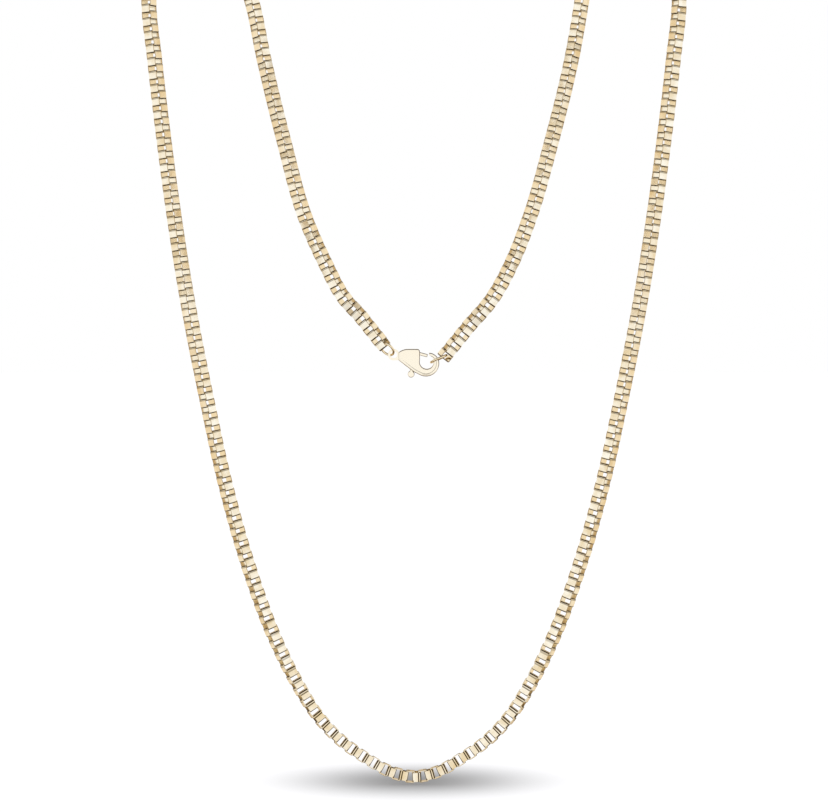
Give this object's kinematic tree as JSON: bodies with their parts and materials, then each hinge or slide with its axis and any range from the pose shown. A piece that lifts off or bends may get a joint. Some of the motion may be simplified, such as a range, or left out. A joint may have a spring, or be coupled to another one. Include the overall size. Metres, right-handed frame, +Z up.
{
  "type": "box chain necklace",
  "caption": "Box chain necklace of square folded links in gold tone, closed by a lobster clasp with a lever and two jump rings, in the form it hangs in.",
  "frame": {"origin": "midway between the two bends that the chain hangs from, level with their undersides: the middle of the neck or bar that it hangs on", "axes": "+X to the right seen from the front, +Y to the back, where the clasp hangs, +Z up"},
  "size_m": [0.113, 0.0136, 0.1783],
  "materials": {
    "chain": "polished gold tone on folded strip",
    "clasp": "polished gold tone on cast metal",
    "ring": "polished gold tone wire",
    "pin": "plain riveted pin"
  },
  "bodies": {
    "root": {"chain_left": "chain", "chain_right": "chain", "clasp_body": "clasp", "clasp_pin": "pin", "clasp_ring": "ring", "catch_ring": "ring", "link_left_1": "chain", "link_left_2": "chain", "link_left_3": "chain", "link_left_4": "chain", "link_left_5": "chain", "link_left_6": "chain", "link_right_1": "chain", "link_right_2": "chain", "link_right_3": "chain", "link_right_4": "chain", "link_right_5": "chain", "link_right_6": "chain"},
    "lever": {"clasp_lever": "clasp"}
  },
  "joints": [
    {"name": "lever_pivot", "type": "hinge", "parent": "root", "child": "lever", "pos_m": [-0.00015, 0.005, -0.08625], "axis": [0, 1, 0], "range_deg": [0, 28], "stiffness_Nm_per_rad": 0.004, "springref_deg": -20.05}
  ]
}
